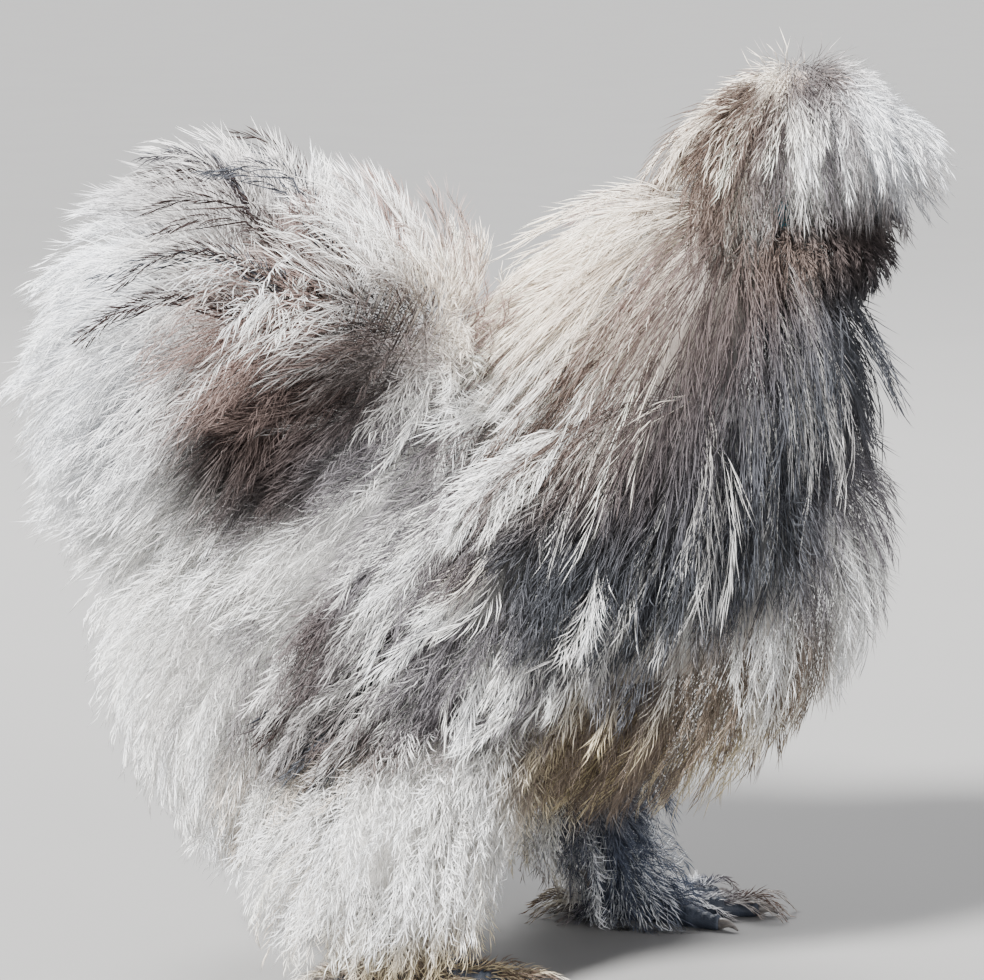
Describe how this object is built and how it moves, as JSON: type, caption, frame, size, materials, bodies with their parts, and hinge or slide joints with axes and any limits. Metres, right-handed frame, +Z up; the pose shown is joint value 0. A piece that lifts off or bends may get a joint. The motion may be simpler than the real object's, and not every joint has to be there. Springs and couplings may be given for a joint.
{
  "type": "silkie chicken",
  "caption": "Bearded silkie cock standing still, life size, with a full crest, loose hair-like plumage and feathered five-toed feet.",
  "frame": {"origin": "on the floor, at the bottom centre of the bird's bounding box, between its feet", "axes": "+X towards the beak, +Y towards the bird's left side, +Z up; the right side, at -Y, faces the picture's camera"},
  "size_m": [0.3844, 0.2226, 0.3664],
  "materials": {
    "crest": "soft, hair-like feathers, white with a taupe patch behind the whorl",
    "beard": "soft muffs and beard, shaded mauve brown",
    "hackle": "loose hackle, cream and white streaked with taupe and slate",
    "body_plumage": "woolly white and pale grey plumage",
    "cushion_plumage": "soft cream white saddle",
    "tail_plumage": "ragged tail, white at the edge, taupe inside with dark sickles",
    "wing_plumage": "woolly wing, white with slate spots and dark flight feathers",
    "leg_plumage": "soft white leg fluff",
    "foot_plumage": "foot feathering over dark skin, yellowed at the floor",
    "face_skin": "dark mulberry skin",
    "beak": "slate horn, satin",
    "comb": "dark mulberry, pebbled",
    "ear_lobe": "turquoise skin",
    "eye": "wet black-brown",
    "claw": "grey horn"
  },
  "bodies": {
    "root": {"crest": "crest", "beard": "beard", "neck": "hackle", "torso": "body_plumage", "abdomen": "body_plumage", "cushion": "cushion_plumage", "tail": "tail_plumage", "wing_right": "wing_plumage", "wing_left": "wing_plumage", "thigh_right": "leg_plumage", "thigh_left": "leg_plumage", "shank_right": "leg_plumage", "shank_left": "leg_plumage", "foot_right": "foot_plumage", "foot_left": "foot_plumage", "head": "face_skin", "beak_upper": "beak", "beak_lower": "beak", "comb": "comb", "ear_lobe_right": "ear_lobe", "ear_lobe_left": "ear_lobe", "eye_right": "eye", "eye_left": "eye", "claw_inner_right": "claw", "claw_middle_right": "claw", "claw_outer_right": "claw", "claw_hind_right": "claw", "claw_fifth_right": "claw", "claw_inner_left": "claw", "claw_middle_left": "claw", "claw_outer_left": "claw", "claw_hind_left": "claw", "claw_fifth_left": "claw"}
  },
  "joints": []
}
